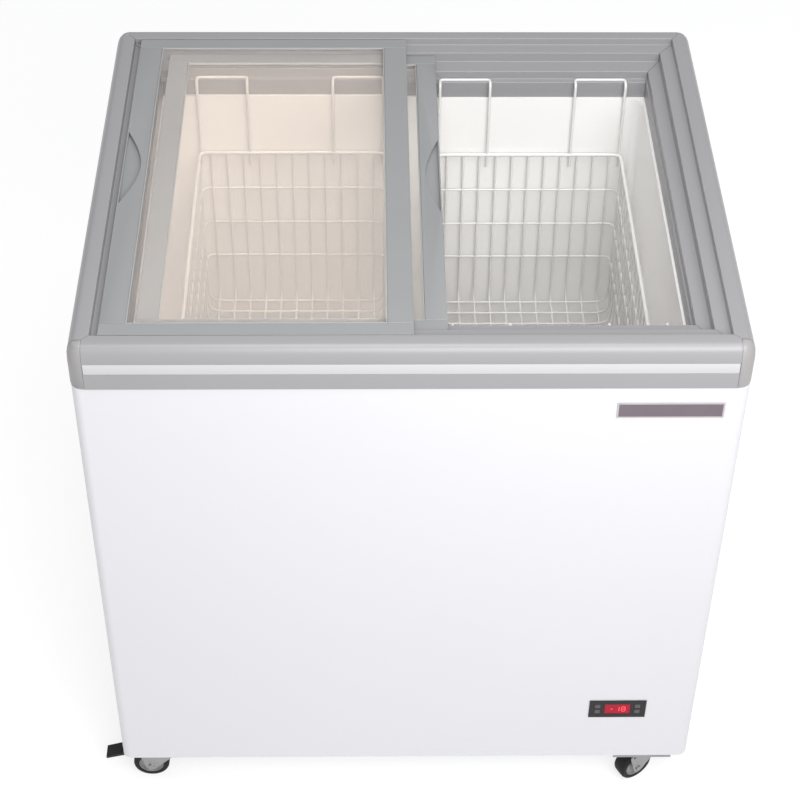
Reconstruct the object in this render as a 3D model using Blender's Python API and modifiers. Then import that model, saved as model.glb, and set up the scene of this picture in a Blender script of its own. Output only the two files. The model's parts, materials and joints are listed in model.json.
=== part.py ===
"""Flat-top display chest freezer: insulated cabinet, stepped top frame with two
sliding glass lids, two lift-out baskets, machine compartment and braked casters.
Metres, +Z up, front towards -Y, origin on the floor under the cabinet's centre."""

import math

import bmesh
import bpy
from mathutils import Matrix, Vector

# Driving dimensions
WIDTH, DEPTH, HEIGHT = 0.785, 0.667, 0.820
FRAME_HEIGHT = 0.060
FLOOR_GAP = 0.066          # floor to the underside of the cabinet
CABINET_INSET = 0.0015     # the frame stands this far proud of the panels
GAP = 0.0003               # between pieces that touch
SHEET = 0.0015             # steel panels
SHELL_RADIUS = 0.012       # upright front corners
LINER_WALL = 0.002
FRAME_WALL = 0.003

# Distances in from the frame's outer face, and drops below its top
CAP_RADIUS = 0.018
EDGE_ACROSS, EDGE_DOWN = 0.012, 0.022
STEP_DROPS = (0.010, 0.024, 0.036)
SIDE_STEPS = (0.026, 0.044, 0.0615, 0.064)
CROSS_STEPS = (0.026, 0.046, 0.070, 0.078)
CORNER_LEG = 0.045

# Lids
LID_WIDTH = 0.360
GLASS = 0.004
GROOVE = 0.006
UPPER_LEFT_EDGE = -0.3575
LOWER_LEFT_EDGE = -0.318
LID_RAIL = 0.020
UPPER_STILE, LOWER_STILE = 0.030, 0.026
UPPER_THICK, LOWER_THICK = 0.009, 0.010
PULL_LENGTH, PULL_DEPTH, PULL_MIDDLE = 0.150, 0.006, 0.015

# Cabinet inside
LINER_HALF_X, LINER_HALF_Y = 0.3255, 0.2525
LINER_FLOOR = 0.130
LINER_RADIUS = 0.020
HUMP_LEFT, HUMP_TOP = 0.090, 0.345
FLANGE = 0.025
INSULATION_ROUND_HUMP = 0.033
COIL_GAP = 0.010
COIL_TUBE = 0.004
COIL_TURNS = 6
COIL_LOW, COIL_HIGH = 0.41, 0.72

# Baskets
BASKET_WIDTH, BASKET_HALF_Y = 0.262, 0.2495
BASKET_LOW, BASKET_RIM = 0.410, 0.672
BASKET_WALL = 0.0025
BASKET_CENTRES = {"left": -0.155, "right": 0.1745}
HANGER_WIDTH, HANGER_OFFSET = 0.070, 0.092
HOOK_REACH = 0.0125

# Casters
CASTER_X, CASTER_Y = 0.3375, 0.302
CASTER_REACH = 0.052       # the front right plate runs on under the machine tray
CASTER_TRAIL = 0.0185
WHEEL_RADIUS, WHEEL_HALF_WIDTH, WHEEL_SIDES = 0.025, 0.011, 24
CASTER_PLATE = 0.0025
PEDAL_TIP = 0.0805
BRAKED = ("front_left", "rear_right")
FRONT_RIGHT_SWING = math.radians(30)

# Controller on the front panel
CONTROL_X, CONTROL_Z = 0.286, 0.170
CONTROL_WIDTH, CONTROL_HEIGHT = 0.077, 0.035
WINDOW_WIDTH, WINDOW_HEIGHT = 0.034, 0.019
KEY = 0.0075

HALF_W = WIDTH / 2 - CABINET_INSET
HALF_D = DEPTH / 2 - CABINET_INSET
CABINET_TOP = HEIGHT - FRAME_HEIGHT


# ---------------------------------------------------------------- scene helpers
def clear_scene():
    for obj in list(bpy.data.objects):
        bpy.data.objects.remove(obj, do_unlink=True)


def new_collection(name):
    made = bpy.data.collections.new(name)
    bpy.context.scene.collection.children.link(made)
    return made


def material(name, colour, roughness, metallic=0.0, transmission=0.0):
    mat = bpy.data.materials.new(name)
    mat.use_nodes = True
    shader = mat.node_tree.nodes["Principled BSDF"]
    shader.inputs["Base Color"].default_value = (*colour, 1.0)
    shader.inputs["Roughness"].default_value = roughness
    shader.inputs["Metallic"].default_value = metallic
    shader.inputs["Transmission Weight"].default_value = transmission
    mat.diffuse_color = (*colour, 1.0)
    return mat


def add(name, mesh, mat, location=(0, 0, 0), rotation=(0, 0, 0)):
    """A sub-part: its mesh, its material and its place."""
    obj = bpy.data.objects.new(name, mesh)
    obj.location = location
    obj.rotation_euler = rotation
    PARTS.objects.link(obj)
    if mat and not mesh.materials:
        mesh.materials.append(mat)
    return obj


def pivot(name, location, turn=0.0, parent=None):
    """An empty on a joint's axis, which the moving pieces hang from."""
    obj = bpy.data.objects.new(name, None)
    obj.empty_display_size = 0.03
    obj.location = location
    obj.rotation_euler = (0, 0, turn)
    PARTS.objects.link(obj)
    if parent:
        obj.parent = parent
    return obj


def hang(obj, empty):
    """Parents a piece to an empty without moving it. The empty stands unturned in the world."""
    obj.parent = empty
    obj.location = Vector(obj.location) - empty.location
    return obj


# ------------------------------------------------------------------ mesh makers
def box_mesh(name, low, high, bevel=0.0, segments=2, upright_only=False):
    """A block between two corners, about its own centre, with its edges rounded if asked."""
    size = Vector(high) - Vector(low)
    bm = bmesh.new()
    bmesh.ops.create_cube(bm, size=1.0, matrix=Matrix.Diagonal((*size, 1.0)))
    if bevel:
        edges = [e for e in bm.edges if not upright_only or is_upright(e)]
        bmesh.ops.bevel(bm, geom=edges, offset=bevel, segments=segments, affect="EDGES", profile=0.5)
    mesh = bpy.data.meshes.new(name)
    bm.to_mesh(mesh)
    bm.free()
    return mesh


def is_upright(edge):
    a, b = (v.co for v in edge.verts)
    return abs(a.x - b.x) + abs(a.y - b.y) < 1e-6


def block(name, low, high, mat, **rounding):
    centre = (Vector(low) + Vector(high)) / 2
    return add(name, box_mesh(name, low, high, **rounding), mat, centre)


def cylinder_mesh(name, radius, length, sides=24):
    bm = bmesh.new()
    bmesh.ops.create_cone(
        bm, cap_ends=True, segments=sides, radius1=radius, radius2=radius, depth=length
    )
    mesh = bpy.data.meshes.new(name)
    bm.to_mesh(mesh)
    bm.free()
    mesh.shade_smooth()
    mesh.set_sharp_from_angle(angle=math.radians(40))
    return mesh


def mesh_of_curve(obj):
    """A curve object's evaluated mesh, welded, with its faces pointing out. The curve is removed."""
    graph = bpy.context.evaluated_depsgraph_get()
    mesh = bpy.data.meshes.new_from_object(obj.evaluated_get(graph))
    bm = bmesh.new()
    bm.from_mesh(mesh)
    bmesh.ops.remove_doubles(bm, verts=bm.verts, dist=0.00001)
    bmesh.ops.recalc_face_normals(bm, faces=bm.faces)
    bm.to_mesh(mesh)
    bm.free()
    mesh.name = obj.name
    bpy.data.objects.remove(obj, do_unlink=True)
    return mesh


def outline_mesh(name, points, thickness):
    """A flat outline in XY, made solid by its thickness about Z = 0."""
    curve = bpy.data.curves.new(name, "CURVE")
    curve.dimensions = "2D"
    curve.fill_mode = "BOTH"
    curve.extrude = thickness / 2
    spline = curve.splines.new("POLY")
    spline.points.add(len(points) - 1)
    for point, (x, y) in zip(spline.points, points):
        point.co = (x, y, 0, 1)
    spline.use_cyclic_u = True
    obj = bpy.data.objects.new(name, curve)
    PARTS.objects.link(obj)
    return mesh_of_curve(obj)


def tube_mesh(name, points, radius, sides_step=2):
    """A round tube with filled ends along a list of points."""
    curve = bpy.data.curves.new(name, "CURVE")
    curve.dimensions = "3D"
    curve.bevel_depth = radius
    curve.bevel_resolution = sides_step
    curve.use_fill_caps = True
    spline = curve.splines.new("POLY")
    spline.points.add(len(points) - 1)
    for point, place in zip(spline.points, points):
        point.co = (*place, 1)
    obj = bpy.data.objects.new(name, curve)
    PARTS.objects.link(obj)
    mesh = mesh_of_curve(obj)
    mesh.shade_smooth()
    mesh.set_sharp_from_angle(angle=math.radians(50))
    return mesh


def turned_mesh(name, profile, sides, phase=0.0):
    """A closed ring profile of (radius, height) points turned about Z with a Screw modifier."""
    bm = bmesh.new()
    verts = [bm.verts.new((r, 0, h)) for r, h in profile]
    for a, b in zip(verts, verts[1:] + verts[:1]):
        bm.edges.new((a, b))
    mesh = bpy.data.meshes.new(name)
    bm.to_mesh(mesh)
    bm.free()
    obj = bpy.data.objects.new(name, mesh)
    PARTS.objects.link(obj)
    screw = obj.modifiers.new("turn", "SCREW")
    screw.axis = "Z"
    screw.steps = screw.render_steps = sides
    screw.use_merge_vertices = True
    screw.merge_threshold = 0.00001
    made = mesh_of_curve(obj)
    made.transform(Matrix.Rotation(phase, 4, "Z"))
    made.shade_smooth()
    made.set_sharp_from_angle(angle=math.radians(35))
    return made


def loft_mesh(name, rings):
    """An open sheet through rings of points, one ring per station."""
    bm = bmesh.new()
    rows = [[bm.verts.new(p) for p in ring] for ring in rings]
    for one, other in zip(rows, rows[1:]):
        for i in range(len(one) - 1):
            bm.faces.new((one[i], one[i + 1], other[i + 1], other[i]))
    bmesh.ops.remove_doubles(bm, verts=bm.verts, dist=0.00001)
    bmesh.ops.dissolve_degenerate(bm, edges=bm.edges, dist=0.000001)
    bmesh.ops.recalc_face_normals(bm, faces=bm.faces)
    top = max(bm.faces, key=lambda f: f.calc_center_median().z)
    if top.normal.z < 0:
        bmesh.ops.reverse_faces(bm, faces=bm.faces)
    mesh = bpy.data.meshes.new(name)
    bm.to_mesh(mesh)
    bm.free()
    return mesh


# --------------------------------------------------------------------- booleans
def cutter(name, mesh, location=(0, 0, 0), rotation=(0, 0, 0)):
    obj = bpy.data.objects.new(name, mesh)
    obj.location = location
    obj.rotation_euler = rotation
    obj.hide_render = True
    obj.display_type = "WIRE"
    CUTTERS.objects.link(obj)
    return obj


def block_cutter(name, low, high, **rounding):
    centre = (Vector(low) + Vector(high)) / 2
    return cutter(name, box_mesh(name, low, high, **rounding), centre)


def combine(obj, tool, operation="DIFFERENCE"):
    step = obj.modifiers.new(tool.name, "BOOLEAN")
    step.operation = operation
    step.object = tool
    step.solver = "EXACT"
    return obj


# ------------------------------------------------------------- cabinet and foam
def make_outer_shell():
    """One steel wrap: front and both sides, with rounded upright front corners and an open back."""
    radius = SHELL_RADIUS
    arc = [
        (HALF_W - radius + radius * math.sin(a), -HALF_D + radius - radius * math.cos(a))
        for a in (math.radians(15 * i) for i in range(7))
    ]
    right = arc + [(HALF_W, HALF_D)]
    path = [(-x, y) for x, y in reversed(right)] + right
    rings = [[(x, y, z) for x, y in path] for z in (FLOOR_GAP, CABINET_TOP - GAP)]
    mesh = loft_mesh("outer_shell", rings)
    shell = add("outer_shell", mesh, WHITE_STEEL)
    wall = shell.modifiers.new("wall", "SOLIDIFY")
    wall.thickness = SHEET
    wall.offset = -1.0 if front_faces_out(mesh) else 1.0
    wall.use_even_offset = True
    hole = block_cutter(
        "controller_hole",
        (CONTROL_X - 0.036, -HALF_D - 0.01, CONTROL_Z - 0.015),
        (CONTROL_X + 0.036, -HALF_D + 0.01, CONTROL_Z + 0.015),
    )
    return combine(shell, hole)


def front_faces_out(mesh):
    """True if the face nearest the front points towards -Y."""
    face = min(mesh.polygons, key=lambda p: p.center.y)
    return face.normal.y < 0


def make_rear_panel():
    inner = HALF_W - SHEET - GAP
    panel = block(
        "rear_panel",
        (-inner, HALF_D - SHEET, FLOOR_GAP),
        (inner, HALF_D, CABINET_TOP - GAP),
        WHITE_STEEL,
    )
    combine(panel, block_cutter("grille_hole", *grown(GRILLE_BOX, 0.02)))
    combine(panel, block_cutter("gland_hole", *grown(GLAND_BOX, 0.02)))
    return panel


def grown(bounds, through):
    """A box a gap larger in X and Z, and run through the panel in Y."""
    low, high = bounds
    return (
        (low[0] - GAP, low[1] - through, low[2] - GAP),
        (high[0] + GAP, high[1] + through, high[2] + GAP),
    )


def make_base_pan():
    inner = HALF_W - SHEET - GAP
    return block(
        "base_pan",
        (-inner, -HALF_D + SHEET + GAP, FLOOR_GAP),
        (inner, HALF_D - SHEET - GAP, FLOOR_GAP + 0.002),
        GALVANISED,
        bevel=SHELL_RADIUS,
        segments=4,
        upright_only=True,
    )


def stepped_outline(half_x, floor, hump_left, hump_top, top):
    """A cabinet section in XZ with a step at the right for the machine compartment."""
    return [
        (-half_x, floor),
        (hump_left, floor),
        (hump_left, hump_top),
        (half_x, hump_top),
        (half_x, top),
        (-half_x, top),
    ]


ON_XZ = (math.pi / 2, 0, 0)          # a flat outline's XY becomes the world's XZ
ON_YZ = (math.pi / 2, 0, math.pi / 2)  # and here the world's YZ


def tub_solid(name, grow, top, place):
    """The cavity's shape grown by a wall, with rounded upright corners."""
    half_x, half_y = LINER_HALF_X + grow, LINER_HALF_Y + grow
    outline = stepped_outline(
        half_x, LINER_FLOOR - grow, HUMP_LEFT + grow, HUMP_TOP - grow, top
    )
    solid = place(name, outline_mesh(name, outline, 2 * half_y), rotation=ON_XZ)
    return round_upright(solid, half_x, half_y, LINER_RADIUS + grow)


def round_upright(solid, half_x, half_y, radius):
    """Keeps what lies inside a block with rounded upright edges."""
    keep = block_cutter(
        f"{solid.name}_corners",
        (-half_x, -half_y, 0.0),
        (half_x, half_y, HEIGHT + 0.1),
        bevel=radius,
        segments=5,
        upright_only=True,
    )
    return combine(solid, keep, "INTERSECT")


def white_plastic(name, mesh, rotation):
    return add(name, mesh, WHITE_PLASTIC, rotation=rotation)


def make_inner_liner():
    """A white tub with a hump over the compressor and a flange round its rim."""
    top = CABINET_TOP - GAP
    liner = tub_solid("inner_liner", LINER_WALL, top, white_plastic)
    rim = LINER_WALL + FLANGE
    flange = block_cutter(
        "liner_flange",
        (-LINER_HALF_X - rim, -LINER_HALF_Y - rim, top - 0.003),
        (LINER_HALF_X + rim, LINER_HALF_Y + rim, top),
    )
    combine(liner, flange, "UNION")
    return combine(liner, tub_solid("liner_cavity", 0.0, top + 0.01, cutter))


def make_foam():
    """The foamed-in insulation: shell to liner, stepped over the machine compartment."""
    half_x = HALF_W - SHEET - GAP
    half_y = HALF_D - SHEET - GAP
    top = CABINET_TOP - GAP - 0.003 - GAP
    outer = stepped_outline(
        half_x, FLOOR_GAP + 0.002 + GAP, COMPARTMENT_LEFT, COMPARTMENT_TOP, top
    )
    foam = add(
        "foam_insulation",
        outline_mesh("foam_insulation", outer, 2 * half_y),
        FOAM,
        rotation=ON_XZ,
    )
    round_upright(foam, half_x, half_y, SHELL_RADIUS)
    combine(foam, tub_solid("foam_cavity", LINER_WALL + GAP, top + 0.01, cutter))
    gap = LINER_WALL + COIL_GAP
    pocket = block_cutter(
        "coil_pocket",
        (-LINER_HALF_X - gap, -LINER_HALF_Y - gap, COIL_LOW - 0.02),
        (LINER_HALF_X + gap, LINER_HALF_Y + gap, top + 0.01),
    )
    return combine(foam, pocket)


def make_evaporator():
    """One refrigerant tube wound round the liner's four walls, rising as it goes."""
    off = LINER_WALL + COIL_GAP / 2
    half_x, half_y, radius = LINER_HALF_X + off, LINER_HALF_Y + off, LINER_RADIUS + off
    corners = [
        (half_x - radius, half_y - radius, 0.0),
        (-half_x + radius, half_y - radius, math.pi / 2),
        (-half_x + radius, -half_y + radius, math.pi),
        (half_x - radius, -half_y + radius, 1.5 * math.pi),
    ]
    loop = []
    for x, y, start in corners:
        for k in range(5):
            a = start + math.radians(22.5 * k)
            loop.append((x + radius * math.cos(a), y + radius * math.sin(a)))
    count = COIL_TURNS * len(loop)
    rise = (COIL_HIGH - COIL_LOW) / (count - 1)
    points = [(*loop[i % len(loop)], COIL_LOW + rise * i) for i in range(count)]
    mesh = tube_mesh("evaporator_coil", points, COIL_TUBE, sides_step=1)
    return add("evaporator_coil", mesh, COPPER)


# -------------------------------------------------------------------- top frame
def frame_profile():
    """(in from a side, in from the front or back, height) from the outer foot to the inner foot."""
    points = [(0.0, 0.0, CABINET_TOP)]
    for step in range(5):
        a = math.radians(22.5 * step)
        across, down = EDGE_ACROSS * (1 - math.cos(a)), EDGE_DOWN * (1 - math.sin(a))
        points.append((across, across, HEIGHT - down))
    points.append((CAP_RADIUS, CAP_RADIUS, HEIGHT))
    drops = (0.0, *STEP_DROPS, FRAME_HEIGHT)
    for i, (side, cross) in enumerate(zip(SIDE_STEPS, CROSS_STEPS)):
        points.append((side, cross, HEIGHT - drops[i]))
        points.append((side, cross, HEIGHT - drops[i + 1]))
    return points


def make_rail(name, rings):
    """A length of the stepped extrusion, open underneath, with mitred inner steps."""
    rail = add(name, loft_mesh(name, rings), GREY_FRAME)
    wall = rail.modifiers.new("wall", "SOLIDIFY")
    wall.thickness = FRAME_WALL
    wall.offset = -1.0
    wall.use_even_offset = True


def make_rails():
    """Four extrusions that butt against the corner caps and meet each other in mitres."""
    profile = frame_profile()
    for name, sign in (("frame_rail_front", -1), ("frame_rail_rear", 1)):
        rings = [
            [
                (end * (WIDTH / 2 - max(side, CAP_RADIUS) - GAP), sign * (DEPTH / 2 - cross), z)
                for side, cross, z in profile
            ]
            for end in (-1, 1)
        ]
        make_rail(name, rings)
    for name, sign in (("frame_rail_left", -1), ("frame_rail_right", 1)):
        rings = [
            [
                (sign * (WIDTH / 2 - side), end * (DEPTH / 2 - max(cross, CAP_RADIUS) - GAP), z)
                for side, cross, z in profile
            ]
            for end in (-1, 1)
        ]
        make_rail(name, rings)


def corner_cap_mesh():
    """A quarter-round post with the rails' shoulder, about its own axis, open to +X and +Y."""
    profile = [(side, z) for side, _, z in frame_profile() if side < CAP_RADIUS]
    bm = bmesh.new()
    low, high = bm.verts.new((0, 0, CABINET_TOP)), bm.verts.new((0, 0, HEIGHT))
    rows = []
    for step in range(7):
        a = math.radians(15 * step)
        rows.append([
            bm.verts.new(((CAP_RADIUS - u) * math.cos(a), (CAP_RADIUS - u) * math.sin(a), z))
            for u, z in profile
        ])
    for one, other in zip(rows, rows[1:]):
        for i in range(len(profile) - 1):
            bm.faces.new((one[i], other[i], other[i + 1], one[i + 1]))
        bm.faces.new((low, other[0], one[0]))
        bm.faces.new((high, one[-1], other[-1]))
    bm.faces.new((low, *rows[0], high))
    bm.faces.new((high, *reversed(rows[-1]), low))
    bmesh.ops.recalc_face_normals(bm, faces=bm.faces)
    mesh = bpy.data.meshes.new("frame_corner")
    bm.to_mesh(mesh)
    bm.free()
    return mesh


def make_corners():
    """Moulded corner caps, each with two legs that plug into the rails' hollows."""
    for end, sy in (("front", -1), ("rear", 1)):
        for side, sx in (("left", -1), ("right", 1)):
            name = f"frame_corner_{end}_{side}"
            x, y = sx * (WIDTH / 2 - CAP_RADIUS), sy * (DEPTH / 2 - CAP_RADIUS)
            turn = {(1, 1): 0, (-1, 1): 0.5, (-1, -1): 1, (1, -1): 1.5}[sx, sy] * math.pi
            cap = add(name, corner_cap_mesh(), GREY_CAP, (x, y, 0), (0, 0, turn))
            near, far = -0.002, CORNER_LEG
            wall = CAP_RADIUS - FRAME_WALL - GAP
            z0, z1 = CABINET_TOP + 0.003, CABINET_TOP + 0.025
            for label, corner_a, corner_b in (
                ("x", (-far, wall - 0.010), (-near, wall)),
                ("y", (wall - 0.010, -far), (wall, -near)),
            ):
                xs = sorted(x + sx * value for value in (corner_a[0], corner_b[0]))
                ys = sorted(y + sy * value for value in (corner_a[1], corner_b[1]))
                leg = block_cutter(f"{name}_leg_{label}", (xs[0], ys[0], z0), (xs[1], ys[1], z1))
                combine(cap, leg, "UNION")


# ------------------------------------------------------------------------- lids
def channel_outline(width, height, slot_low):
    """A bar's section with a groove in its inner side for the glass. X runs from the outer side inwards."""
    inner = width - GROOVE
    slot_high = slot_low + GLASS + 2 * GAP
    return [
        (0, 0), (width, 0), (width, slot_low), (inner, slot_low),
        (inner, slot_high), (width, slot_high), (width, height), (0, height),
    ]


def make_lid(name, left, half_y, base, thick, stile, home):
    """A glass panel in four grooved bars, the rails along X and the stiles between them."""
    empty = pivot(f"{name}_slide", (left + LID_WIDTH / 2, 0, base))
    slot_low = (thick - GLASS) / 2 - GAP
    rail = channel_outline(LID_RAIL, thick, slot_low)
    for end, sign in (("front", 1), ("rear", -1)):
        # the section's X points into the lid from either side
        outline = [(sign * x, z) for x, z in rail]
        mesh = outline_mesh(f"{name}_rail_{end}", outline, LID_WIDTH)
        place = (left + LID_WIDTH / 2, -sign * half_y, base)
        hang(add(mesh.name, mesh, GREY_LID, place, ON_YZ), empty)
    stile_outline = channel_outline(stile, thick, slot_low)
    length = 2 * (half_y - LID_RAIL - GAP)
    for side, sign, x in (("left", 1, left), ("right", -1, left + LID_WIDTH)):
        outline = [(sign * u, z) for u, z in stile_outline]
        mesh = outline_mesh(f"{name}_stile_{side}", outline, length)
        bar = hang(add(mesh.name, mesh, GREY_LID, (x, 0, base), ON_XZ), empty)
        if side == home:
            combine(bar, pull_cutter(name, x + sign * 0.002, sign * (stile - 0.009), base + thick))
    inset_x, inset_y = stile - GROOVE + GAP, LID_RAIL - GROOVE + GAP
    pane = block(
        f"{name}_glass",
        (left + inset_x, -half_y + inset_y, base + slot_low + GAP),
        (left + LID_WIDTH - inset_x, half_y - inset_y, base + slot_low + GAP + GLASS),
        CLEAR_GLASS,
    )
    hang(pane, empty)


def pull_cutter(name, edge, reach, top):
    """A half-moon finger recess in the top of a stile, deepest at the middle of its length."""
    steps = 12
    outline = [
        (reach * math.sin(math.pi * i / steps), PULL_LENGTH * (i / steps - 0.5))
        for i in range(steps + 1)
    ]
    if reach < 0:
        outline.reverse()
    mesh = outline_mesh(f"{name}_pull", outline, 2 * PULL_DEPTH)
    return cutter(f"{name}_pull", mesh, (edge, PULL_MIDDLE, top))


# ---------------------------------------------------------------------- baskets
def make_basket(side):
    """A tub with the basket's true outer shape, hung by four hooks on the frame's lowest ledge."""
    centre = BASKET_CENTRES[side]
    empty = pivot(f"{side}_basket_lift", (centre, 0, BASKET_RIM))
    half = BASKET_WIDTH / 2
    tub = block(
        f"{side}_basket",
        (centre - half, -BASKET_HALF_Y, BASKET_LOW),
        (centre + half, BASKET_HALF_Y, BASKET_RIM),
        WHITE_WIRE,
    )
    wall = BASKET_WALL
    inside = block_cutter(
        f"{side}_basket_inside",
        (centre - half + wall, -BASKET_HALF_Y + wall, BASKET_LOW + wall),
        (centre + half - wall, BASKET_HALF_Y - wall, BASKET_RIM + 0.05),
    )
    combine(tub, inside)
    ledge = HEIGHT - STEP_DROPS[2] + GAP
    for i, sign in enumerate((-1, 1)):
        for end in (-1, 1):
            y = sign * (BASKET_HALF_Y - wall)
            reach = sign * HOOK_REACH
            hook = [
                (y, BASKET_RIM - 0.02), (y, ledge + wall), (y + reach + sign * wall, ledge + wall),
                (y + reach + sign * wall, ledge), (y + sign * wall, ledge),
                (y + sign * wall, BASKET_RIM - 0.02),
            ]
            name = f"{side}_hook_{i}_{end}"
            place = (centre + end * HANGER_OFFSET, 0, 0)
            strap = cutter(name, outline_mesh(name, hook, HANGER_WIDTH), place, ON_YZ)
            combine(tub, strap, "UNION")
    return hang(tub, empty)


# ---------------------------------------------------------------------- casters
def caster_fork_mesh():
    """Crown, two legs and the riveted axle, about the swivel axis, trailing along +X."""
    leg_y = WHEEL_HALF_WIDTH + 0.0012
    leg = 0.002
    outline = [(-0.016, 0.0525), (-0.014, 0.047)]
    for i in range(7):
        a = math.radians(200 + 20 * i)
        outline.append((CASTER_TRAIL + 0.008 * math.cos(a), WHEEL_RADIUS + 0.008 * math.sin(a)))
    outline += [(0.032, 0.047), (0.032, 0.0565), (-0.016, 0.0565)]
    crown = work_piece(
        "caster_fork",
        box_mesh("caster_fork", (-0.019, -leg_y - leg, 0.0517), (0.019, leg_y + leg, 0.0570)),
        (0, 0, 0.05435),
    )
    for sign in (-1, 1):
        name = f"fork_leg_{sign}"
        mesh = outline_mesh(name, outline, leg)
        combine(crown, cutter(name, mesh, (0, sign * (leg_y + leg / 2), 0), ON_XZ), "UNION")
    axle = cylinder_mesh("fork_axle", 0.004, 2 * (leg_y + leg + 0.0015), 16)
    combine(crown, cutter("fork_axle", axle, (CASTER_TRAIL, 0, WHEEL_RADIUS), ON_XZ), "UNION")
    bore = cylinder_mesh("pedal_bore", 0.00212, 0.06, 16)
    combine(crown, cutter("pedal_bore", bore, (PEDAL_PIN[0], 0, PEDAL_PIN[1]), ON_XZ))
    return settled(crown)


def work_piece(name, mesh, location):
    obj = bpy.data.objects.new(name, mesh)
    obj.location = location
    PARTS.objects.link(obj)
    return obj


def settled(obj):
    """The object's evaluated mesh with its place in it. The object is removed."""
    bpy.context.view_layer.update()
    place = obj.matrix_world.copy()
    mesh = mesh_of_curve(obj)
    mesh.transform(place)
    mesh.materials.clear()
    return mesh


def caster_wheel_mesh():
    """A wheel turned about its own axle: tyre, web and hub, standing on a flat of its rim."""
    rim = WHEEL_RADIUS / math.cos(math.pi / WHEEL_SIDES)
    half = WHEEL_HALF_WIDTH
    profile = [
        (0.00412, -half), (0.009, -half), (0.0095, -half + 0.003), (0.0165, -half + 0.003),
        (0.0175, -half), (rim - 0.0015, -half), (rim, -half + 0.0015),
        (rim, half - 0.0015), (rim - 0.0015, half), (0.0175, half),
        (0.0165, half - 0.003), (0.0095, half - 0.003), (0.009, half), (0.00412, half),
    ]
    return turned_mesh("caster_wheel", profile, WHEEL_SIDES, math.pi / WHEEL_SIDES)


def caster_pedal_mesh():
    """A bent brake lever between the fork's ears, seen from the side about its own pin."""
    tip = PEDAL_TIP - PEDAL_PIN[0]
    outline = [
        (-0.003, -0.002), (0.012, -0.003), (tip - 0.001, -0.0145), (tip, -0.013),
        (tip, -0.0115), (0.016, 0.0012), (0.002, 0.0025), (-0.003, 0.002),
    ]
    lever = outline_mesh("caster_pedal", outline, 0.020)
    pedal = work_piece("caster_pedal", lever, (0, 0, 0))
    pin = cylinder_mesh("pedal_pin", 0.0020, 0.031, 16)
    combine(pedal, cutter("pedal_pin", pin), "UNION")
    mesh = settled(pedal)
    mesh.transform(Matrix.Rotation(math.pi / 2, 4, "X"))
    return mesh


def make_caster(corner, sx, sy, turn):
    """Plate on the base pan, and a swivel that carries the fork, the wheel and any brake pedal."""
    x, y = sx * CASTER_X, sy * CASTER_Y
    top = FLOOR_GAP - GAP
    plate = block(
        f"caster_plate_{corner}",
        (x - (CASTER_REACH if corner == "front_right" else 0.036), y - 0.028, top - CASTER_PLATE),
        (x + 0.036, y + 0.028, top),
        ZINC,
        bevel=0.004,
        upright_only=True,
    )
    race = cutter(
        f"caster_race_{corner}",
        cylinder_mesh("race", 0.018, 0.0070, 20),
        (x, y, top - CASTER_PLATE - 0.0025),
    )
    combine(plate, race, "UNION")
    if corner == "front_right":
        lip = block_cutter(
            "caster_lip_front_right",
            (x - CASTER_REACH + 0.004, y - 0.028, top - 0.0072),
            (x + 0.032, y - 0.0255, top - 0.0010),
        )
        combine(plate, lip, "UNION")
    swivel = pivot(f"caster_swivel_{corner}", (x, y, 0), turn)
    fork = add(f"caster_fork_{corner}", FORK, None)
    fork.parent = swivel
    wheel_pin = pivot(f"caster_axle_{corner}", (CASTER_TRAIL, 0, WHEEL_RADIUS), parent=swivel)
    wheel = add(f"caster_wheel_{corner}", WHEEL, None, rotation=ON_XZ)
    wheel.parent = wheel_pin
    if corner not in BRAKED:
        return
    pedal_pin = pivot(f"caster_brake_{corner}", (PEDAL_PIN[0], 0, PEDAL_PIN[1]), parent=swivel)
    pedal = add(f"caster_pedal_{corner}", PEDAL, None)
    pedal.parent = pedal_pin


# ------------------------------------------------------------------- controller
def make_controller():
    """Snap-in thermostat: bezel with a window and four keys, its lens and its case behind the panel."""
    face = -DEPTH / 2 + 0.0002
    x, z = CONTROL_X, CONTROL_Z
    half_w, half_h = CONTROL_WIDTH / 2, CONTROL_HEIGHT / 2
    panel = -HALF_D - GAP
    bezel = block(
        "controller_bezel",
        (x - half_w, face, z - half_h),
        (x + half_w, panel, z + half_h),
        BLACK_PLASTIC,
        bevel=0.0004,
    )
    plug = block_cutter(
        "controller_plug", (x - 0.0355, panel - 0.0005, z - 0.0145), (x + 0.0355, -0.3240, z + 0.0145)
    )
    combine(bezel, plug, "UNION")
    window = ((x - WINDOW_WIDTH / 2, z - WINDOW_HEIGHT / 2), (x + WINDOW_WIDTH / 2, z + WINDOW_HEIGHT / 2))
    combine(bezel, window_cutter("controller_window_hole", window, GAP))
    block(
        "controller_window",
        (window[0][0], face + 0.0003, window[0][1]),
        (window[1][0], face + 0.0018, window[1][1]),
        RED_LENS,
    )
    block(
        "controller_case",
        (x - 0.035, -0.3236, z - 0.014),
        (x + 0.035, -0.262, z + 0.014),
        BLACK_PLASTIC,
    )
    for name, (dx, dz) in KEYS.items():
        place = ((x + dx - KEY / 2, z + dz - KEY / 2), (x + dx + KEY / 2, z + dz + KEY / 2))
        combine(bezel, window_cutter(f"{name}_hole", place, GAP))
        empty = pivot(f"{name}_press", (x + dx, face, z + dz))
        key = block(
            name,
            (place[0][0], face, place[0][1]),
            (place[1][0], face + 0.0070, place[1][1]),
            GREY_RUBBER,
            bevel=0.0004,
        )
        hang(key, empty)


def window_cutter(name, place, gap):
    (x0, z0), (x1, z1) = place
    low = (x0 - gap, -DEPTH / 2 - 0.01, z0 - gap)
    return block_cutter(name, low, (x1 + gap, -DEPTH / 2 + 0.02, z1 + gap))


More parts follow.
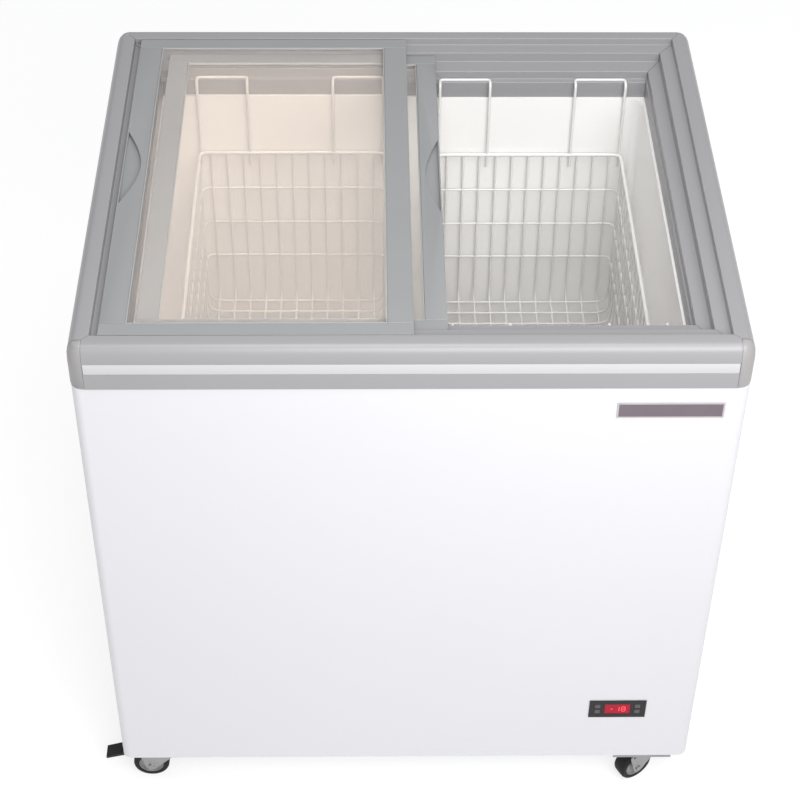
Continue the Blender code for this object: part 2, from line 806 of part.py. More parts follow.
def make_badge():
    """A blank name plate at the top right of the front panel."""
    block(
        "badge_plate",
        (0.239, -DEPTH / 2 + 0.0002, 0.713),
        (0.364, -HALF_D - GAP, 0.736),
        DARK_METAL,
        bevel=0.0004,
    )


# ---------------------------------------------------------- machine compartment
def make_compressor():
    """Hermetic compressor can on a foot plate."""
    x, y, base = 0.265, 0.185, FLOOR_GAP + 0.002 + GAP
    profile = [(0.0005, 0.010), (0.060, 0.010), (0.070, 0.022), (0.072, 0.060), (0.072, 0.110)]
    profile += [
        (0.072 * math.cos(a), 0.110 + 0.045 * math.sin(a))
        for a in (math.radians(18 * i) for i in range(1, 5))
    ]
    profile.append((0.0005, 0.155))
    can = add(
        "compressor", turned_mesh("compressor", profile, 24), BLACK_PAINT, (x, y, base)
    )
    foot = block_cutter(
        "compressor_foot", (x - 0.085, y - 0.055, base), (x + 0.085, y + 0.055, base + 0.014)
    )
    combine(can, foot, "UNION")


def make_condenser():
    """Finned condenser block: one spine with upright fins towards the fan."""
    x0, x1, y0, y1 = 0.150, 0.365, -0.200, -0.150
    base, top = FLOOR_GAP + 0.002 + GAP, 0.275
    fins = 20
    pitch = (x1 - x0) / fins
    outline = [(x0, y0), (x1, y0)]
    for i in range(fins, 0, -1):
        right = x0 + pitch * i
        outline += [(right, y1), (right - 0.35 * pitch, y1)]
        outline += [(right - 0.35 * pitch, y0 + 0.012), (right - pitch, y0 + 0.012)]
    mesh = outline_mesh("condenser", outline[:-1], top - base)
    add("condenser", mesh, ALUMINIUM, (0, 0, (base + top) / 2))


def make_fan():
    """Condenser fan: a motor on its foot, and a five-bladed fan on its shaft."""
    x, z, y = 0.2575, 0.170, -0.120
    empty = pivot("condenser_fan_spin", (x, y, z))
    hub = add("condenser_fan", cylinder_mesh("condenser_fan", 0.018, 0.020, 20), GREY_PLASTIC, (x, y, z), ON_XZ)
    for i in range(5):
        blade = box_mesh(f"fan_blade_{i}", (-0.014, -0.001, -0.029), (0.014, 0.001, 0.029))
        turn = Matrix.Rotation(math.radians(72 * i), 4, "Y")
        pitch = Matrix.Rotation(math.radians(28), 4, "Z")
        blade.transform(turn @ Matrix.Translation((0, 0, 0.044)) @ pitch)
        combine(hub, cutter(f"fan_blade_{i}", blade, (x, y, z)), "UNION")
    hang(hub, empty)
    motor = add(
        "condenser_fan_motor",
        cylinder_mesh("condenser_fan_motor", 0.024, 0.046, 20),
        BLACK_PAINT,
        (x, y + 0.010 + GAP + 0.023, z),
        ON_XZ,
    )
    base = FLOOR_GAP + 0.002 + GAP
    stand = block_cutter(
        "fan_stand", (x - 0.012, y + 0.025, base), (x + 0.012, y + 0.045, z)
    )
    combine(motor, stand, "UNION")


def make_plumbing():
    """Filter drier and the two pipes that run to the compressor."""
    add(
        "filter_drier",
        cylinder_mesh("filter_drier", 0.0095, 0.090, 16),
        COPPER,
        (0.150, 0.070, 0.190),
    )
    discharge = [
        (0.342, 0.185, 0.150), (0.358, 0.185, 0.150), (0.366, 0.177, 0.152), (0.368, 0.160, 0.160),
        (0.368, -0.020, 0.235), (0.368, -0.100, 0.250), (0.364, -0.115, 0.251),
        (0.357, -0.122, 0.252), (0.352, -0.129, 0.253), (0.352, -0.1497, 0.253),
    ]
    add("discharge_pipe", tube_mesh("discharge_pipe", discharge, 0.003, 1), COPPER)
    suction = [
        (0.188, 0.185, 0.160), (0.170, 0.185, 0.161), (0.162, 0.190, 0.168),
        (0.160, 0.205, 0.185), (0.160, 0.235, 0.255), (0.160, 0.240, 0.275),
        (0.160, 0.240, COMPARTMENT_TOP - GAP),
    ]
    add("suction_pipe", tube_mesh("suction_pipe", suction, 0.004, 1), COPPER)


def make_rear_grille():
    """Louvred service cover set into the rear panel."""
    grille = block("rear_grille", *GRILLE_BOX, WHITE_STEEL)
    (x0, y0, z0), (x1, y1, z1) = GRILLE_BOX
    slots = 8
    pitch = (z1 - z0 - 0.03) / slots
    for i in range(slots):
        low = z0 + 0.015 + pitch * (i + 0.25)
        slot = block_cutter(
            f"grille_slot_{i}", (x0 + 0.015, y0 - 0.01, low), (x1 - 0.015, y1 + 0.01, low + 0.5 * pitch)
        )
        combine(grille, slot)


def make_power_gland():
    block("power_gland", *GLAND_BOX, BLACK_PLASTIC, bevel=0.002)


# --------------------------------------------------------------------- assembly
clear_scene()
PARTS = new_collection("chest_freezer")
CUTTERS = new_collection("cutters")
CUTTERS.hide_render = True

WHITE_STEEL = material("white_painted_steel", (0.93, 0.93, 0.95), 0.35)
WHITE_PLASTIC = material("white_liner_plastic", (0.86, 0.85, 0.83), 0.4)
WHITE_WIRE = material("white_coated_wire", (0.90, 0.90, 0.90), 0.4)
GREY_FRAME = material("grey_frame_plastic", (0.52, 0.53, 0.55), 0.45)
GREY_CAP = material("grey_corner_plastic", (0.50, 0.49, 0.47), 0.5)
GREY_LID = material("grey_lid_profile", (0.42, 0.44, 0.47), 0.4)
CLEAR_GLASS = material("tempered_glass", (0.95, 0.93, 0.92), 0.02, transmission=1.0)
GREY_PLASTIC = material("light_grey_plastic", (0.60, 0.60, 0.60), 0.5)
GREY_RUBBER = material("grey_key_rubber", (0.25, 0.25, 0.26), 0.6)
BLACK_PLASTIC = material("black_plastic", (0.03, 0.03, 0.035), 0.4)
BLACK_RUBBER = material("black_tyre", (0.03, 0.03, 0.03), 0.8)
BLACK_PAINT = material("black_paint", (0.03, 0.03, 0.03), 0.4, 0.2)
DARK_METAL = material("badge_metal", (0.30, 0.28, 0.30), 0.35, 0.6)
RED_LENS = material("red_display_lens", (0.45, 0.02, 0.04), 0.1)
GALVANISED = material("galvanised_steel", (0.60, 0.61, 0.62), 0.45, 0.9)
ZINC = material("zinc_plated_steel", (0.68, 0.68, 0.69), 0.35, 1.0)
ALUMINIUM = material("fin_aluminium", (0.75, 0.76, 0.78), 0.4, 1.0)
COPPER = material("copper_tube", (0.72, 0.40, 0.25), 0.35, 1.0)
FOAM = material("polyurethane_foam", (0.85, 0.78, 0.55), 0.9)

COMPARTMENT_LEFT = HUMP_LEFT + INSULATION_ROUND_HUMP
COMPARTMENT_TOP = HUMP_TOP - INSULATION_ROUND_HUMP
GRILLE_BOX = ((0.150, HALF_D - SHEET, 0.090), (0.360, HALF_D, 0.270))
GLAND_BOX = ((0.300, HALF_D - 0.012, 0.282), (0.330, HALF_D, 0.302))
PEDAL_PIN = (0.027, 0.0530)
KEYS = {
    "key_set": (-0.0270, 0.0055),
    "key_light": (-0.0270, -0.0055),
    "key_up": (0.0270, 0.0055),
    "key_down": (0.0270, -0.0055),
}

make_outer_shell()
make_rear_panel()
make_base_pan()
make_inner_liner()
make_foam()
make_evaporator()
make_rails()
make_corners()
make_lid(
    "upper_lid", UPPER_LEFT_EDGE, DEPTH / 2 - CROSS_STEPS[0] - 0.0015,
    HEIGHT - STEP_DROPS[0] + GAP, UPPER_THICK, UPPER_STILE, "left",
)
make_lid(
    "lower_lid", LOWER_LEFT_EDGE, DEPTH / 2 - CROSS_STEPS[1] - 0.0015,
    HEIGHT - STEP_DROPS[1] + GAP, LOWER_THICK, LOWER_STILE, "right",
)
for basket_side in BASKET_CENTRES:
    make_basket(basket_side)
FORK = caster_fork_mesh()
WHEEL = caster_wheel_mesh()
PEDAL = caster_pedal_mesh()
FORK.materials.append(ZINC)
WHEEL.materials.append(BLACK_RUBBER)
PEDAL.materials.append(BLACK_PLASTIC)
for corner_name, side_x, side_y, swing in (
    ("front_left", -1, -1, math.pi),
    ("front_right", 1, -1, math.pi + FRONT_RIGHT_SWING),
    ("rear_left", -1, 1, 0.0),
    ("rear_right", 1, 1, 0.0),
):
    make_caster(corner_name, side_x, side_y, swing)
make_controller()
make_badge()
make_compressor()
make_condenser()
make_fan()
make_plumbing()
make_rear_grille()
make_power_gland()
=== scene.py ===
"""The finished look of a flat-top display chest freezer on casters.

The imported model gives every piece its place. The sections below follow the freezer as it is
put together: cabinet, lining, baskets, top frame, lids, front panel fittings, casters and the
machinery behind the rear cover. Everything is in metres, +Z up, front towards -Y."""

import json
import math

import bmesh
import bpy
from mathutils import Matrix, Vector

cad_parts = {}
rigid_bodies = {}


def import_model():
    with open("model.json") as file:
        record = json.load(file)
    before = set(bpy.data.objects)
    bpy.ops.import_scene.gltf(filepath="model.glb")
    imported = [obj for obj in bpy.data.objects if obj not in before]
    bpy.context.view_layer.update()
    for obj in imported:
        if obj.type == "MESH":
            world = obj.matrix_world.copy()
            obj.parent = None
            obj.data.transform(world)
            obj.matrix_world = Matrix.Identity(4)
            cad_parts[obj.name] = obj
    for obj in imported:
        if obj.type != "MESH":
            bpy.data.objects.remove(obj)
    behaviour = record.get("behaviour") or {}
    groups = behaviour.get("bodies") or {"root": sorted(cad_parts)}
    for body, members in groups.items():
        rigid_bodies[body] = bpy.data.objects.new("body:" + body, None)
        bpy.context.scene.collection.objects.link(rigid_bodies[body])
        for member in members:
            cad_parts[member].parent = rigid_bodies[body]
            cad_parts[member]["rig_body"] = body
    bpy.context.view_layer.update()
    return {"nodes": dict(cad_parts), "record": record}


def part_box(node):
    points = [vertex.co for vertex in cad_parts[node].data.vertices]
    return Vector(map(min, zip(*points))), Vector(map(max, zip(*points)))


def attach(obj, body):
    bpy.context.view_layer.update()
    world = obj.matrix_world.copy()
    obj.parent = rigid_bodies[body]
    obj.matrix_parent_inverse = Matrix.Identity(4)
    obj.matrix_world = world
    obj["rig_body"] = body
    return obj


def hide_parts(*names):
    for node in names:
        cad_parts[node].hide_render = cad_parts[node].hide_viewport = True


for leftover in list(bpy.data.objects):
    bpy.data.objects.remove(leftover, do_unlink=True)
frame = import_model()
nodes = frame["nodes"]


# ------------------------------------------------------------------ outer cabinet
# The cabinet's skin is thin sheet steel, folded round the front and both sides and powder
# coated white. A flat rear panel of the same sheet closes it, and foam bonds all of it.
def node_at(tree, kind, **settings):
    """A node of this kind, with its plain settings and its unlinked input values."""
    made = tree.nodes.new(kind)
    for name, value in settings.items():
        if hasattr(made, name) and name not in made.inputs:
            setattr(made, name, value)
        else:
            made.inputs[name].default_value = value
    return made


def make_patina_group():
    """Slow patches of tone and gloss, with a fine surface grain under them."""
    group = bpy.data.node_groups.new("patina", "ShaderNodeTree")
    for name, kind, value in (
        ("Color", "NodeSocketColor", (1, 1, 1, 1)),
        ("Shade", "NodeSocketFloat", 0.05),
        ("Patch Scale", "NodeSocketFloat", 6.0),
        ("Roughness", "NodeSocketFloat", 0.4),
        ("Roughness Spread", "NodeSocketFloat", 0.08),
        ("Grain Scale", "NodeSocketFloat", 900.0),
    ):
        socket = group.interface.new_socket(name, in_out="INPUT", socket_type=kind)
        socket.default_value = value
    for name, kind in (
        ("Color", "NodeSocketColor"),
        ("Roughness", "NodeSocketFloat"),
        ("Height", "NodeSocketFloat"),
    ):
        group.interface.new_socket(name, in_out="OUTPUT", socket_type=kind)
    given = group.nodes.new("NodeGroupInput")
    result = group.nodes.new("NodeGroupOutput")
    place = group.nodes.new("ShaderNodeTexCoord")
    patches = node_at(group, "ShaderNodeTexNoise", Detail=5.0, Roughness=0.6)
    grain = node_at(group, "ShaderNodeTexNoise", Detail=2.0)
    darker = node_at(group, "ShaderNodeMix", data_type="RGBA", blend_type="MULTIPLY")
    darker.inputs["B"].default_value = (0, 0, 0, 1)
    tone = node_at(group, "ShaderNodeMath", operation="MULTIPLY")
    centred = node_at(group, "ShaderNodeMath", operation="SUBTRACT")
    centred.inputs[1].default_value = 0.5
    spread = node_at(group, "ShaderNodeMath", operation="MULTIPLY_ADD")
    link = group.links.new
    link(place.outputs["Object"], patches.inputs["Vector"])
    link(place.outputs["Object"], grain.inputs["Vector"])
    link(given.outputs["Patch Scale"], patches.inputs["Scale"])
    link(given.outputs["Grain Scale"], grain.inputs["Scale"])
    link(patches.outputs["Fac"], tone.inputs[0])
    link(given.outputs["Shade"], tone.inputs[1])
    link(tone.outputs[0], darker.inputs["Factor"])
    link(given.outputs["Color"], darker.inputs["A"])
    link(patches.outputs["Fac"], centred.inputs[0])
    link(centred.outputs[0], spread.inputs[0])
    link(given.outputs["Roughness Spread"], spread.inputs[1])
    link(given.outputs["Roughness"], spread.inputs[2])
    link(darker.outputs["Result"], result.inputs["Color"])
    link(spread.outputs[0], result.inputs["Roughness"])
    link(grain.outputs["Fac"], result.inputs["Height"])
    return group


PATINA = make_patina_group()


def finish(name, colour, roughness, shade=0.05, patch=6.0, spread=0.08, grain=900.0,
           bump=0.05, depth=0.0002, **constants):
    """A surface finish: the patina group with its own values, and a shader's fixed settings."""
    made = bpy.data.materials.new(name)
    made.use_nodes = True
    tree = made.node_tree
    shader = tree.nodes["Principled BSDF"]
    for socket, value in constants.items():
        shader.inputs[socket.replace("_", " ")].default_value = value
    patina = node_at(tree, "ShaderNodeGroup", node_tree=PATINA)
    patina.name = "patina"
    for socket, value in (
        ("Color", (*colour, 1)), ("Shade", shade), ("Patch Scale", patch),
        ("Roughness", roughness), ("Roughness Spread", spread), ("Grain Scale", grain),
    ):
        patina.inputs[socket].default_value = value
    relief = node_at(tree, "ShaderNodeBump", Strength=bump, Distance=depth)
    tree.links.new(patina.outputs["Color"], shader.inputs["Base Color"])
    tree.links.new(patina.outputs["Roughness"], shader.inputs["Roughness"])
    tree.links.new(patina.outputs["Height"], relief.inputs["Height"])
    tree.links.new(relief.outputs["Normal"], shader.inputs["Normal"])
    made.diffuse_color = (*colour, 1)
    return made


def link_object(name, data):
    """A new object with this data, linked into the scene."""
    made = bpy.data.objects.new(name, data)
    bpy.context.scene.collection.objects.link(made)
    return made


def mesh_from(bm, name):
    """Writes a finished bmesh into a new mesh and frees it."""
    mesh = bpy.data.meshes.new(name)
    bm.to_mesh(mesh)
    bm.free()
    return mesh


def dress(piece, material, body, stands_for=()):
    """Gives a piece its finish, body and material slot, and the nodes it stands for."""
    if material:
        piece.data.materials.clear()
        piece.data.materials.append(material)
    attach(piece, body)
    if stands_for:
        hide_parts(*stands_for)
    return piece


def settle(piece, smooth=32):
    """Bakes a piece's modifiers into its mesh and smooths it up to an angle in degrees."""
    graph = bpy.context.evaluated_depsgraph_get()
    piece.data = bpy.data.meshes.new_from_object(piece.evaluated_get(graph))
    piece.data.name = piece.name
    piece.modifiers.clear()
    piece.data.shade_smooth()
    piece.data.set_sharp_from_angle(angle=math.radians(smooth))
    return piece


def add_piece(name, mesh, material, body, stands_for=(), smooth=32):
    """Puts a finished mesh in the scene, on its body and with its material slot."""
    mesh.shade_smooth()
    mesh.set_sharp_from_angle(angle=math.radians(smooth))
    return dress(link_object(name, mesh), material, body, stands_for)


def softened(node, width, material, segments=2, smooth=32):
    """A merged copy of a CAD node with its hard edges eased, which stands for the node."""
    bm = bmesh.new()
    bm.from_mesh(nodes[node].data)
    bmesh.ops.remove_doubles(bm, verts=bm.verts, dist=0.00001)
    bmesh.ops.dissolve_limit(
        bm, angle_limit=math.radians(1), verts=bm.verts, edges=bm.edges
    )
    name = node + "_finished"
    piece = link_object(name, mesh_from(bm, name))
    if width:
        ease = piece.modifiers.new("eased edges", "BEVEL")
        ease.width = width
        ease.segments = segments
        ease.limit_method = "ANGLE"
        ease.angle_limit = math.radians(28)
        ease.use_clamp_overlap = True
        ease.miter_outer = "MITER_ARC"
        ease.harden_normals = True
        piece.data.shade_smooth()
        piece.data.set_sharp_from_angle(angle=math.radians(smooth))
    settle(piece, smooth)
    return dress(piece, material, nodes[node]["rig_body"], (node,))


WHITE_COAT = finish(
    "white_powder_coat", (0.64, 0.635, 0.66), 0.38, shade=0.025, patch=2.5, spread=0.06,
    grain=520.0, bump=0.10, depth=0.0003, Coat_Weight=0.15, Coat_Roughness=0.2,
)
softened("outer_shell", 0.0, WHITE_COAT)
softened("rear_panel", 0.0, WHITE_COAT)


# ------------------------------------------------------------------ base pan
# The floor of the cabinet is a galvanised steel pan. Its zinc shows as a patchwork of
# dull grey crystals, and the casters bolt to it.
def galvanised_sheet():
    made = finish("galvanised_sheet", (0.50, 0.51, 0.52), 0.42, shade=0.2, patch=9.0,
                  grain=300.0, bump=0.08, Metallic=0.9)
    tree = made.node_tree
    place = tree.nodes.new("ShaderNodeTexCoord")
    crystals = node_at(tree, "ShaderNodeTexVoronoi", Scale=90.0)
    tint = node_at(tree, "ShaderNodeMix", data_type="RGBA", blend_type="OVERLAY", Factor=0.25)
    grey = tree.nodes.new("ShaderNodeRGBToBW")
    tree.links.new(place.outputs["Object"], crystals.inputs["Vector"])
    tree.links.new(crystals.outputs["Color"], grey.inputs["Color"])
    tree.links.new(tree.nodes["patina"].outputs["Color"], tint.inputs["A"])
    tree.links.new(grey.outputs["Val"], tint.inputs["B"])
    tree.links.new(tint.outputs["Result"], tree.nodes["Principled BSDF"].inputs["Base Color"])
    return made


GALVANISED = galvanised_sheet()
softened("base_pan", 0.0006, GALVANISED)


# ------------------------------------------------------------------ lining and insulation
# The tub is one white sheet liner with a hump over the compressor. Yellow rigid foam fills
# the space to the outer panels, and the copper evaporator tube is wound round the tub in it.
LINER = finish("white_liner", (0.905, 0.895, 0.885), 0.33, shade=0.03, patch=5.0,
               spread=0.10, grain=240.0, bump=0.12, depth=0.0004, Coat_Weight=0.2,
               Coat_Roughness=0.15)
softened("inner_liner", 0.0, LINER, smooth=40)
FOAM = finish("rigid_foam", (0.80, 0.70, 0.42), 0.9, shade=0.3, patch=30.0, grain=700.0,
              bump=0.6, depth=0.001)
softened("foam_insulation", 0.0, FOAM)
COPPER = finish("copper_tube", (0.72, 0.38, 0.24), 0.3, shade=0.35, patch=40.0, spread=0.3,
                grain=500.0, bump=0.05, Metallic=1.0)
softened("evaporator_coil", 0.0, COPPER, smooth=60)


# ------------------------------------------------------------------ wire baskets
# Two welded baskets of round steel wire, dipped in white plastic. Heavier wire makes the rim
# and the four hooks that hang on the lowest ledge of the top frame.
WIRE, RIM_WIRE = 0.0016, 0.0026
BASKET_HALF_Y, BASKET_RIM_Z, HOOK_TOP_Z = 0.2495, 0.672, 0.7866
HOOK_HALF_WIDTH, HOOK_OFFSET, HOOK_END_Y = 0.034, 0.092, 0.2603
HOOK_WIRE, HOOK_BEND, HOOK_FOOT = WIRE * 1.2, 0.005, 0.02
WIRES_ACROSS, WIRES_ALONG, WIRE_RINGS = 20, 11, 3
END_GAP, FIRST_RING, WIRE_BEND, RING_BEND = 0.015, 0.075, 0.02, 0.012
ONCE = (0, 0, 0.01)


def new_tree(name, inputs, output):
    """A Geometry Nodes group with its named inputs, its one output and their two nodes."""
    tree = bpy.data.node_groups.new(name, "GeometryNodeTree")
    for socket, kind in inputs.items():
        tree.interface.new_socket(socket, in_out="INPUT", socket_type="NodeSocket" + kind)
    tree.interface.new_socket(output, in_out="OUTPUT", socket_type="NodeSocketGeometry")
    return tree, tree.nodes.new("NodeGroupInput"), tree.nodes.new("NodeGroupOutput")


def end_tree(tree, geometry, material, result):
    """Ends a tree with Realize Instances and Set Material."""
    real = tree.nodes.new("GeometryNodeRealizeInstances")
    coat = tree.nodes.new("GeometryNodeSetMaterial")
    tree.links.new(geometry, real.inputs["Geometry"])
    tree.links.new(real.outputs["Geometry"], coat.inputs["Geometry"])
    tree.links.new(material, coat.inputs["Material"])
    tree.links.new(coat.outputs["Geometry"], result)


def make_wire_rows_tree():
    """Sweeps round wire along a line and repeats it at even steps."""
    tree, given, result = new_tree(
        "wire_rows",
        {"Line": "Geometry", "Count": "Int", "Step": "Vector", "Wire Radius": "Float",
         "Coating": "Material"},
        "Wires",
    )
    curve = tree.nodes.new("GeometryNodeMeshToCurve")
    round_bar = node_at(tree, "GeometryNodeCurvePrimitiveCircle", Resolution=8)
    sweep = tree.nodes.new("GeometryNodeCurveToMesh")
    sweep.inputs["Fill Caps"].default_value = True
    row = node_at(tree, "GeometryNodeMeshLine", mode="OFFSET")
    copies = tree.nodes.new("GeometryNodeInstanceOnPoints")
    link = tree.links.new
    link(given.outputs["Line"], curve.inputs["Mesh"])
    link(given.outputs["Wire Radius"], round_bar.inputs["Radius"])
    link(curve.outputs["Curve"], sweep.inputs["Curve"])
    link(round_bar.outputs["Curve"], sweep.inputs["Profile Curve"])
    link(given.outputs["Count"], row.inputs["Count"])
    link(given.outputs["Step"], row.inputs["Offset"])
    link(row.outputs["Mesh"], copies.inputs["Points"])
    link(sweep.outputs["Mesh"], copies.inputs["Instance"])
    end_tree(tree, copies.outputs["Instances"], given.outputs["Coating"], result.inputs["Wires"])
    return tree


def set_inputs(modifier, tree, values):
    """Sets a Geometry Nodes modifier's inputs by their sockets' identifiers."""
    modifier.node_group = tree
    for item in tree.interface.items_tree:
        if item.in_out == "INPUT" and item.name in values:
            modifier[item.identifier] = values[item.name]


def baked(name, mesh, tree, values):
    """What a Geometry Nodes tree makes of a mesh, as a plain mesh."""
    holder = link_object(name, mesh)
    maker = holder.modifiers.new(name, "NODES")
    set_inputs(maker, tree, values)
    graph = bpy.context.evaluated_depsgraph_get()
    made = bpy.data.meshes.new_from_object(holder.evaluated_get(graph))
    bpy.data.objects.remove(holder, do_unlink=True)
    made.name = name
    return made


WIRE_ROWS = make_wire_rows_tree()


def rounded_path(corners, radius, closed=False, steps=4):
    """A line through the corners with each bend rounded, as a bender leaves it."""
    points = []
    count = len(corners)
    for i, corner in enumerate(corners):
        corner = Vector(corner)
        if not closed and i in (0, count - 1):
            points.append(corner)
            continue
        before, after = Vector(corners[i - 1]), Vector(corners[(i + 1) % count])
        reach = min(radius, (before - corner).length / 2.01, (after - corner).length / 2.01)
        start = corner + (before - corner).normalized() * reach
        end = corner + (after - corner).normalized() * reach
        for k in range(steps + 1):
            t = k / steps
            points.append(start * (1 - t) ** 2 + corner * 2 * t * (1 - t) + end * t * t)
    return points


def wire_mesh(points, closed, count, step, radius, coating):
    """The mesh of one wire repeated along a step."""
    line = bpy.data.meshes.new("wire_line")
    edges = [(i, i + 1) for i in range(len(points) - 1)]
    if closed:
        edges.append((len(points) - 1, 0))
    line.from_pydata(points, edges, [])
    return baked("wires", line, WIRE_ROWS, {
        "Count": count, "Step": step, "Wire Radius": radius, "Coating": coating,
    })


def joined(name, meshes):
    """Several meshes as one, with coincident points kept apart."""
    bm = bmesh.new()
    for mesh in meshes:
        bm.from_mesh(mesh)
        bpy.data.meshes.remove(mesh)
    bmesh.ops.recalc_face_normals(bm, faces=bm.faces)
    return mesh_from(bm, name)


def basket_mesh(name, coating):
    """Both sets of U-shaped wires, the rings and rim round them, and the four hooks."""
    low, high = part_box(name)
    x0, x1 = low.x + RIM_WIRE, high.x - RIM_WIRE
    y0, y1 = -BASKET_HALF_Y + RIM_WIRE, BASKET_HALF_Y - RIM_WIRE
    z0, z1 = low.z + 2.2 * WIRE, BASKET_RIM_Z - RIM_WIRE
    step_y = (y1 - y0 - 2 * END_GAP) / (WIRES_ACROSS - 1)
    step_x = (x1 - x0 - 2 * END_GAP) / (WIRES_ALONG - 1)
    y_start, x_start, under = y0 + END_GAP, x0 + END_GAP, z0 - WIRE
    cross_u = rounded_path(
        [(x0, y_start, z1), (x0, y_start, z0), (x1, y_start, z0), (x1, y_start, z1)], WIRE_BEND
    )
    long_u = rounded_path(
        [(x_start, y0, z1), (x_start, y0, under), (x_start, y1, under), (x_start, y1, z1)],
        WIRE_BEND,
    )
    ring = [(x0, y0), (x1, y0), (x1, y1), (x0, y1)]
    rings = rounded_path([(x, y, z0 + FIRST_RING) for x, y in ring], RING_BEND, closed=True)
    rim = rounded_path([(x, y, z1) for x, y in ring], RING_BEND, closed=True)
    ring_step = (0, 0, (z1 - z0 - FIRST_RING) / WIRE_RINGS)
    meshes = [
        wire_mesh(cross_u, False, WIRES_ACROSS, (0, step_y, 0), WIRE, coating),
        wire_mesh(long_u, False, WIRES_ALONG, (step_x, 0, 0), WIRE, coating),
        wire_mesh(rings, True, WIRE_RINGS, ring_step, WIRE, coating),
        wire_mesh(rim, True, 1, ONCE, RIM_WIRE, coating),
    ]
    middle, top, foot = (x0 + x1) / 2, HOOK_TOP_Z - HOOK_WIRE, z1 - HOOK_FOOT
    for sign in (-1, 1):
        inner, outer = sign * (BASKET_HALF_Y - RIM_WIRE), sign * HOOK_END_Y
        for centre in (middle - HOOK_OFFSET, middle + HOOK_OFFSET):
            left, right = centre - HOOK_HALF_WIDTH, centre + HOOK_HALF_WIDTH
            hook = rounded_path(
                [
                    (left, inner, foot), (left, inner, top), (left, outer, top),
                    (right, outer, top), (right, inner, top), (right, inner, foot),
                ],
                HOOK_BEND,
            )
            meshes.append(wire_mesh(hook, False, 1, ONCE, HOOK_WIRE, coating))
    return joined(name + "_wires", meshes)


WIRE_COAT = finish("white_dipped_wire", (0.78, 0.78, 0.77), 0.4, shade=0.1, patch=30.0,
                   grain=400.0, bump=0.1, Coat_Weight=0.3, Coat_Roughness=0.15)
for side in ("left", "right"):
    node = f"{side}_basket"
    add_piece(
        node + "_wires", basket_mesh(node, WIRE_COAT), WIRE_COAT, nodes[node]["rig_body"],
        (node,), smooth=60,
    )


# ------------------------------------------------------------------ top frame
# Four lengths of one stepped grey extrusion, mitred at the inner corners, carry the lids and
# close the foam. A pale strip is let into the outer face; its light tone also paints the
# highlight band that the studio light throws along the fascia. Moulded caps cover the corners.
FRAME_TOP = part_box("frame_rail_front")[1].z
FRAME_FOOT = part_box("frame_rail_front")[0].z
HALF_WIDTH, HALF_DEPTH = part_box("frame_rail_right")[1].x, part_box("frame_rail_rear")[1].y
CAP_RADIUS, SEAM = 0.018, 0.0003
EDGE_ACROSS, EDGE_DOWN = 0.012, 0.022
STEP_DROPS = (0.0, 0.010, 0.024, 0.036)
SIDE_STEPS = (0.026, 0.044, 0.0615, 0.064)
CROSS_STEPS = (0.026, 0.046, 0.070, 0.078)
STRIP_TOP, STRIP_FOOT, STRIP_DEPTH = 0.0215, 0.0375, 0.0009
GROOVE_GAP, EDGE_FLATS, SECTION_EASE, RAIL_WALL = 0.0005, 8, 0.0011, 0.002
CORNERS = ("front_left", "front_right", "rear_left", "rear_right")


def eased(points, radius):
    """A section outline with every sharp corner turned into three short flats."""
    made = [points[0]]
    for before, corner, after in zip(points, points[1:], points[2:]):
        a, b, c = Vector(before), Vector(corner), Vector(after)
        turn = (b - a).angle(c - b) if (b - a).length and (c - b).length else 0
        if turn < 0.5:
            made.append(corner)
            continue
        reach = min(radius, (b - a).length * 0.4, (c - b).length * 0.4)
        start, end = b + (a - b).normalized() * reach, b + (c - b).normalized() * reach
        for t in (0.0, 0.33, 0.67, 1.0):
            made.append(tuple(start * (1 - t) ** 2 + b * 2 * t * (1 - t) + end * t * t))
    made.append(points[-1])
    return made


def frame_section(steps):
    """(in from the outer face, height) from the outer foot over the top to the inner foot."""
    groove_top = FRAME_TOP - STRIP_TOP - GROOVE_GAP
    points = [
        (0.0, FRAME_FOOT), (0.0, FRAME_TOP - STRIP_FOOT),
        (STRIP_DEPTH, FRAME_TOP - STRIP_FOOT), (STRIP_DEPTH, groove_top), (0.0, groove_top),
    ]
    for i in range(EDGE_FLATS + 1):
        a = math.radians(90 * i / EDGE_FLATS)
        points.append(
            (EDGE_ACROSS * (1 - math.cos(a)) + 0.00001 * (i == 0),
             FRAME_TOP - EDGE_DOWN * (1 - math.sin(a)))
        )
    points.append((CAP_RADIUS, FRAME_TOP))
    drops = (*STEP_DROPS[1:], FRAME_TOP - FRAME_FOOT)
    for i, across in enumerate(steps):
        points.append((across, FRAME_TOP - STEP_DROPS[i]))
        points.append((across, FRAME_TOP - drops[i]))
    return eased(points, SECTION_EASE)


def lofted(name, one, other):
    """A sheet between two rings of points."""
    bm = bmesh.new()
    first, second = ([bm.verts.new(p) for p in ring] for ring in (one, other))
    for i in range(len(first) - 1):
        bm.faces.new((first[i], first[i + 1], second[i + 1], second[i]))
    bmesh.ops.remove_doubles(bm, verts=bm.verts, dist=0.000005)
    bmesh.ops.recalc_face_normals(bm, faces=bm.faces)
    top = max(bm.faces, key=lambda face: face.calc_center_median().z)
    if top.normal.z < 0:
        bmesh.ops.reverse_faces(bm, faces=bm.faces)
    return mesh_from(bm, name)


FRAME_GREY = finish("satin_frame_extrusion", (0.292, 0.29, 0.30), 0.34, shade=0.08, patch=4.0,
                    spread=0.10, grain=700.0, bump=0.06)
CAP_GREY = finish("moulded_corner_cap", (0.315, 0.308, 0.305), 0.42, shade=0.1, patch=20.0,
                  grain=900.0, bump=0.15)
# The strip's pale tone paints the fascia's highlight band, on top of its own satin finish.
STRIP = finish("satin_silver_strip", (0.50, 0.50, 0.515), 0.25, shade=0.04, patch=3.0,
               grain=600.0, bump=0.03)
side_section, cross_section = frame_section(SIDE_STEPS), frame_section(CROSS_STEPS)


